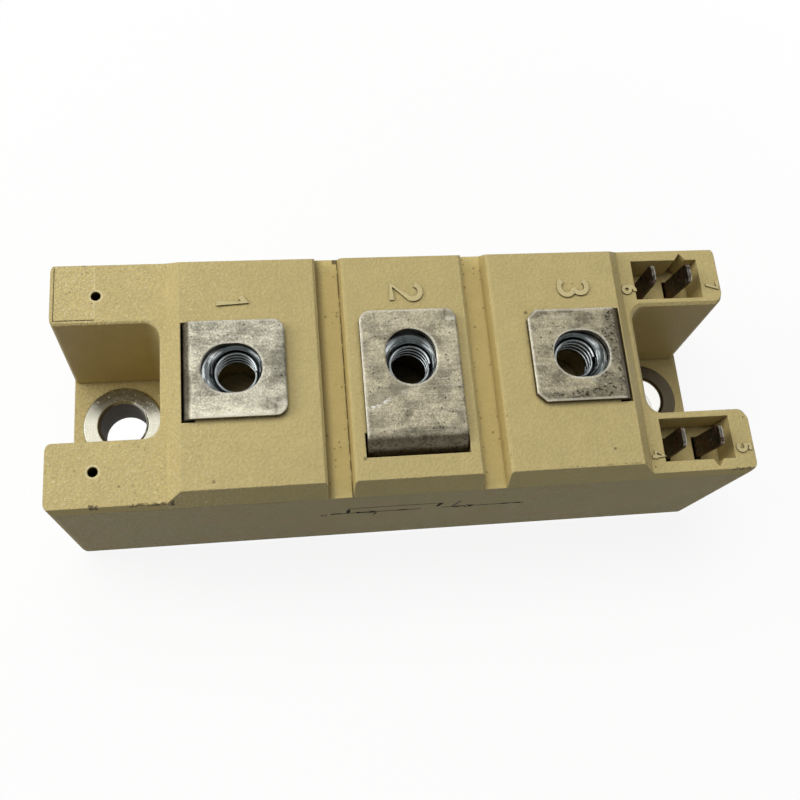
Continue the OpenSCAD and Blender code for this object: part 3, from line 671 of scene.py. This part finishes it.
STRIPS = {
    "terminal_1": dict(fold="left", tint=(0.585, 0.555, 0.44), contrast=1.2, soiled=0.3,
                       scratched=-38, front=0.75,
                       marks=[(-17.3, 1.0, 1.8, 4.0), (-18.6, -5.0, 2.2, 1.2),
                              (-29.0, -3.0, 0.5, 3.0)]),
    "terminal_2": dict(fold="front", tint=(0.575, 0.518, 0.375), contrast=1.0, soiled=0.45,
                       scratched=-52, dented=True,
                       marks=[(-1.0, -7.3, 0.7, 0.6), (6.0, -8.0, 0.9, 1.4),
                              (1.0, -9.6, 6.0, 0.5)]),
    "terminal_3": dict(fold="right", tint=(0.515, 0.459, 0.322), contrast=1.0, soiled=0.85,
                       scratched=4,
                       marks=[(28.6, 1.0, 2.6, 9.0), (24.0, -6.0, 6.5, 1.3),
                              (27.4, -4.0, 2.4, 2.6)]),
}
plates = {plate: plated_strip(plate, **look) for plate, look in STRIPS.items()}

for subpart in frame["record"]["subparts"]:
    node = subpart["node"]
    slots = frame["nodes"][node].data.materials
    slots.clear()
    slots.append(plates.get(node) or finishes[subpart["material_slot"]])


# ---------------------------------------------------------------- pieces grown by node trees

def geometry_tree(name, takes_curve, sizes):
    """A new tree with named inputs, the graph that fills it and its input sockets."""
    tree = bpy.data.node_groups.new(name, "GeometryNodeTree")
    tree.interface.new_socket("Geometry", in_out="OUTPUT", socket_type="NodeSocketGeometry")
    if takes_curve:
        tree.interface.new_socket("Geometry", in_out="INPUT", socket_type="NodeSocketGeometry")
    for size in sizes:
        tree.interface.new_socket(size, in_out="INPUT", socket_type="NodeSocketFloat")
    graph = Graph(tree)
    return tree, graph, graph.node("NodeGroupInput").outputs


def section(graph, foot, crown, height):
    """The outline that is swept along a path: a low bar, narrower at its crown."""
    bar = graph.node("GeometryNodeCurvePrimitiveQuadrilateral", {"mode": "TRAPEZOID"},
                     {"Height": height, "Bottom Width": foot, "Top Width": crown, "Offset": 0.0})
    return bar.outputs[0]


def sweep(graph, path, outline, material):
    """Ends the tree: outline swept along path, closed at its ends, in its material."""
    held = graph.node("GeometryNodeSetCurveNormal", {"mode": "Z_UP"}, {"Curve": path})
    swept = graph.node("GeometryNodeCurveToMesh", {},
                       {"Curve": held.outputs[0], "Profile Curve": outline, "Fill Caps": True})
    real = graph.node("GeometryNodeRealizeInstances", {}, {0: swept.outputs[0]})
    painted = graph.node("GeometryNodeSetMaterial", {},
                         {"Geometry": real.outputs[0], "Material": material})
    graph.node("NodeGroupOutput", {}, {0: painted.outputs[0]})


def thread_tree(material):
    """One ridge wound up the bore of a nut, its crest turned to the bore's axis."""
    tree, g, size = geometry_tree("thread_ridge", False, ["Radius", "Pitch", "Turns", "Depth"])
    turns = Value(g, size["Turns"])
    pitch = Value(g, size["Pitch"])
    helix = g.node("GeometryNodeCurveSpiral", {},
                   {"Resolution": 40, "Rotations": turns, "Start Radius": size["Radius"],
                    "End Radius": size["Radius"], "Height": turns * pitch})
    bar = section(g, pitch * 0.7, pitch * 0.12, size["Depth"])
    turned = g.node("GeometryNodeTransform", {},
                    {"Geometry": bar, "Rotation": (0, 0, math.radians(90))})
    sweep(g, helix.outputs[0], turned.outputs[0], material)
    return tree


def stroke_tree(name, material):
    """Raised or printed strokes: a low bar swept along each drawn line."""
    tree, g, size = geometry_tree(name, True, ["Foot", "Crown", "Height"])
    bar = section(g, size["Foot"], size["Crown"], size["Height"])
    sweep(g, size["Geometry"], bar, material)
    return tree


def evaluated_mesh(piece):
    """The mesh that a piece's modifiers make."""
    whole = bpy.context.evaluated_depsgraph_get()
    return bpy.data.meshes.new_from_object(piece.evaluated_get(whole))


def joined_up(piece, voxel):
    """The piece's crossing strokes remeshed into one closed skin."""
    material = piece.data.materials[0]
    cover = piece.modifiers.new("close", "REMESH")
    cover.mode = "VOXEL"
    cover.voxel_size = voxel
    piece.data = evaluated_mesh(piece)
    piece.modifiers.remove(cover)
    piece.data.materials.clear()
    piece.data.materials.append(material)


def grown(name, start, tree, sizes, place, voxel=0.0):
    """Adds the plain mesh that a tree makes from start, put in its place."""
    seed = bpy.data.objects.new(name + "_seed", start)
    bpy.context.scene.collection.objects.link(seed)
    work = seed.modifiers.new("grow", "NODES")
    work.node_group = tree
    for item in tree.interface.items_tree:
        if item.in_out == "INPUT" and item.name in sizes:
            work[item.identifier] = float(sizes[item.name])
    piece = bpy.data.objects.new(name, evaluated_mesh(seed))
    bpy.data.objects.remove(seed)
    bpy.context.scene.collection.objects.link(piece)
    piece.data.name = name
    if voxel:
        joined_up(piece, voxel)
    piece.data.transform(place)
    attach(piece, BODY)


def threads():
    """The wound ridges of the three nuts, clear of the lead-in cones."""
    tree = thread_tree(zinc_steel("zinc_thread", True))
    pitch, depth = 1.0, 0.5
    # a ridge is sunk into the bore's wall, starts under the lead-in and ends inside the nut
    sunk, lead_in, spare = 0.05, 0.8, 1.1
    turns = (thread["dims"]["length_mm"] - spare) / pitch
    sizes = {"Radius": (thread_r + sunk - depth / 2) * MM, "Pitch": pitch * MM,
             "Turns": turns, "Depth": depth * MM}
    for number, x in zip((1, 2, 3), screw_x):
        foot = top(f"nut_{number}") - lead_in - turns * pitch
        place = Matrix.Translation(Vector((x, 0, foot)) * MM)
        grown(f"thread_{number}", bpy.data.meshes.new("start"), tree, sizes, place)


def arc(centre, reach, start, end, steps=18):
    """Points along part of an ellipse, angles in degrees."""
    angles = [math.radians(start + (end - start) * i / steps) for i in range(steps + 1)]
    return [(centre[0] + reach[0] * math.cos(angle), centre[1] + reach[1] * math.sin(angle))
            for angle in angles]


# numerals in a cell one wide and one high
NUMERALS = {
    1: [[(0.36, 0.80), (0.58, 0.90), (0.72, 1.0), (0.72, 0.0)]],
    2: [arc((0.5, 0.73), (0.46, 0.27), 165, -28) + [(0.02, 0.0), (1.0, 0.0)]],
    3: [arc((0.46, 0.755), (0.42, 0.245), 150, -80), arc((0.47, 0.265), (0.50, 0.265), 82, -150)],
    4: [[(0.72, 0.0), (0.72, 1.0), (0.02, 0.3), (1.0, 0.3)]],
    5: [[(0.92, 1.0), (0.2, 1.0), (0.1, 0.54)] + arc((0.47, 0.33), (0.47, 0.33), 125, -145)],
    6: [arc((0.72, 0.42), (0.68, 0.58), 82, 190) + arc((0.5, 0.3), (0.46, 0.3), 170, 530, 30)],
    7: [[(0.02, 1.0), (1.0, 1.0), (0.38, 0.0)]],
}


def drawn(name, lines, scale=(1.0, 1.0)):
    """Lines as one flat curve. scale is the size of their cell, in millimetres."""
    curve = bpy.data.curves.new(name, "CURVE")
    curve.dimensions = "3D"
    for line in lines:
        spline = curve.splines.new("POLY")
        spline.points.add(len(line) - 1)
        for point, (across, along) in zip(spline.points, line):
            point.co = (across * scale[0] * MM, along * scale[1] * MM, 0.0, 1.0)
    return curve


def numerals():
    """The moulded terminal numbers, their tops turned to the sockets."""
    tree = stroke_tree("raised_numeral", numeral_plastic())
    big = SimpleNamespace(wide=2.35, high=4.0, foot=0.74, crown=0.36, rise=0.30)
    small = SimpleNamespace(wide=1.1, high=1.75, foot=0.54, crown=0.25, rise=0.27)
    sunk, voxel = 0.1, 0.045
    # the middle of each numeral's foot, and its style
    places = {
        1: (screw_x[0] - 0.3, 9.9, block_top, big),
        2: (screw_x[1] + 0.2, 10.2, block_top, big),
        3: (screw_x[2] + 0.9, 10.1, block_top, big),
        4: (33.0, -14.0, arm_top, small),
        5: (45.5, -13.6, arm_top, small),
        6: (33.0, 10.5, arm_top, small),
        7: (45.6, 10.8, arm_top, small),
    }
    for number, (x, y, z, style) in places.items():
        sizes = {"Foot": style.foot * MM, "Crown": style.crown * MM,
                 "Height": (style.rise + sunk) * MM}
        place = (Matrix.Translation(Vector((x, y, z + (style.rise - sunk) / 2)) * MM)
                 @ Matrix.Rotation(math.radians(-90), 4, "Z")
                 @ Matrix.Translation(Vector((-style.wide / 2, -style.high / 2, 0)) * MM))
        lines = drawn(f"numeral_{number}_lines", NUMERALS[number], (style.wide, style.high))
        grown(f"numeral_{number}", lines, tree, sizes, place, voxel * MM)


def ink():
    """Old pad print: brown-black, rubbed thin in places."""
    f = Finish("pad_print")
    cloud = f.cloud(1.2, 3.0, 0.65)
    thin = f.smooth(cloud, 0.38, 0.66)
    colour = f.mix((0.042, 0.034, 0.022), (0.14, 0.12, 0.08), thin * 0.7)
    return f.surface({"Specular IOR Level": 0.2}, Base_Color=colour, Roughness=0.6 + cloud * 0.15,
                     Alpha=0.95 - thin * 0.55, Normal=f.bumped(cloud, 0.01, f.facing))


def circuit_print():
    """A plain half-bridge diagram on the front wall: a rail, two switches and their leads.
    Its lines are given as X and Z, in millimetres."""
    rail, line = 19.0, 16.0
    thin = [
        [(-8.65, line), (-8.65, rail), (4.2, rail), (3.8, line + 0.8)],
        [(-12.2, line - 0.1), (-12.2, line - 0.9)],
        [(-11.7, line - 0.1), (-11.7, line - 0.9)],
        [(-11.0, line), (1.6, line)],
        [(-4.6, line - 0.3), (-4.9, line - 2.2)],
        [(4.6, line), (6.4, line)],
        [(6.0, line + 0.2), (6.7, rail + 0.6)],
        [(8.7, line), (16.4, line)],
    ]
    bold = [
        [(-11.0, line), (-9.5, line)],
        [(-8.65, line + 0.2), (-8.65, line + 2.0)],
        [(-1.8, line), (-0.4, line)],
        [(3.85, line + 1.0), (4.1, rail)],
        [(13.2, line), (14.2, line)],
        [(15.2, line), (15.9, line)],
    ]
    # a switch: a bar, an arrow on to it and a lead away
    for left in (-7.2, 6.6):
        bold.append([(left, line - 0.5), (left, line + 0.5)])
        bold.append([(left + 0.3, line), (left + 1.4, line)])
        thin.append([(left + 1.4, line - 0.9), (left + 2.1, line), (left + 1.4, line + 0.9)])
        bold.append([(left + 2.1, line - 0.6), (left + 2.1, line + 0.6)])
    thick = 0.02
    widths = {"circuit_leads": (thin, 0.26), "circuit_symbols": (bold, 0.55)}
    tree = stroke_tree("printed_line", ink())
    place = (Matrix.Translation(Vector((0, front_y - thick * 0.6, 0)) * MM)
             @ Matrix.Rotation(math.radians(90), 4, "X"))
    for name, (lines, width) in widths.items():
        sizes = {"Foot": width * MM, "Crown": width * MM, "Height": thick * MM}
        grown(name, drawn(name + "_lines", lines), tree, sizes, place)


threads()
numerals()
circuit_print()


# ---------------------------------------------------------------- stage, light and camera

# the ways from the object to its two softboxes; metal finds their glow there
KEY = Vector((-0.15, 0.35, 0.92)).normalized()
SIDE = Vector((-0.8, 0.2, 0.56)).normalized()


def floor():
    """A pale table that keeps a soft shadow by the object and reads white further off."""
    reach, below = 4.0, -0.0001
    mesh = bpy.data.meshes.new("floor")
    mesh.from_pydata([(-reach, -reach, below), (reach, -reach, below), (reach, reach, below),
                      (-reach, reach, below)], [], [(0, 1, 2, 3)])
    table = bpy.data.objects.new("floor", mesh)
    bpy.context.scene.collection.objects.link(table)
    paper = bpy.data.materials.new("paper")
    paper.use_nodes = True
    paper.node_tree.nodes.clear()
    g = Graph(paper.node_tree)
    place = g.node("ShaderNodeTexCoord").outputs["Object"]
    x, y, _ = g.split(place)
    # only the ring round the object takes its shadow; through the bores the floor reads white
    edge = 0.0005
    long, wide = cad_box[1][0], cad_box[1][1]
    under = 1 - g.smooth(abs(x), long - edge, long + edge)
    under = under * (1 - g.smooth(abs(y), wide - edge, wide + edge))
    far = g.smooth(g.length(place), 0.06, 0.14)
    glow_share = 0.88 + g.most(under, far) * 0.12
    own = g.node("ShaderNodeBsdfDiffuse", {}, {"Color": (0.13, 0.13, 0.128, 1)})
    lit = g.node("ShaderNodeBsdfDiffuse", {}, {"Color": (0.97, 0.97, 0.97, 1)})
    glow = g.node("ShaderNodeEmission", {}, {"Color": WHITE, "Strength": 1.0})
    shown = g.mixed(glow_share, lit, glow)
    seen = g.most(g.ray("Camera"), g.most(g.ray("Glossy"), g.ray("Transmission")))
    g.node("ShaderNodeOutputMaterial", {}, {"Surface": g.mixed(seen, own, shown).outputs[0]})
    mesh.materials.append(paper)


def room():
    """Even light from all round. It is white to the eye, and to metal a white wall under a
    grey ceiling with the two softboxes' glow in it."""
    world = bpy.data.worlds.new("room")
    bpy.context.scene.world = world
    world.use_nodes = True
    world.node_tree.nodes.clear()
    g = Graph(world.node_tree)
    way = g.node("ShaderNodeTexCoord").outputs["Object"]
    ceiling = g.smooth(g.split(way)[2], 0.30, 0.80)
    glow = g.smooth(g.dot(way, tuple(KEY)), 0.80, 1.02)
    side = g.smooth(g.dot(way, tuple(SIDE)), 0.86, 0.97)
    shade = 1.0 - ceiling * 0.60 + glow * 0.72 + side * 1.1
    own = g.node("ShaderNodeBackground", {}, {"Color": (0.96, 0.98, 1.0, 1), "Strength": 0.25})
    warm = g.join(shade, shade * 0.995, shade * 0.97)
    mirrored = g.node("ShaderNodeBackground", {}, {"Color": warm})
    white = g.node("ShaderNodeBackground", {}, {"Color": WHITE, "Strength": 1.0})
    lit = g.mixed(g.most(g.ray("Glossy"), g.ray("Transmission")), own, mirrored)
    g.node("ShaderNodeOutputWorld", {},
           {"Surface": g.mixed(g.ray("Camera"), lit, white).outputs[0]})


def softbox(name, way, far, width, power, colour):
    """A square lamp far metres off along way, turned to the object."""
    lamp = bpy.data.lights.new(name, "AREA")
    lamp.shape = "SQUARE"
    lamp.size = width
    lamp.energy = power
    lamp.color = colour
    box = bpy.data.objects.new(name, lamp)
    bpy.context.scene.collection.objects.link(box)
    box.location = Vector((0, 0, 0.02)) + way * far
    box.rotation_euler = way.to_track_quat("Z", "Y").to_euler()
    box.visible_glossy = False


def camera():
    """A view from above the front, from a little to the side of the plain end."""
    lens = bpy.data.cameras.new("camera")
    lens.lens = 45.974
    lens.sensor_width = 36.0
    lens.shift_x = -0.02142
    lens.shift_y = -0.06268
    lens.clip_start = 0.01
    lens.clip_end = 20.0
    eye = bpy.data.objects.new("camera", lens)
    bpy.context.scene.collection.objects.link(eye)
    eye.location = Vector((-20.479, -45.178, 156.276)) * MM
    eye.rotation_euler = (0.3635, -0.1337, -0.0925)
    bpy.context.scene.camera = eye


floor()
room()
softbox("softbox_over", KEY, far=0.8, width=0.5, power=3.55, colour=(1.0, 0.99, 0.96))
softbox("softbox_left", SIDE, far=0.7, width=0.35, power=2.05, colour=(1.0, 0.98, 0.94))
camera()
bpy.context.scene.view_settings.view_transform = "Standard"
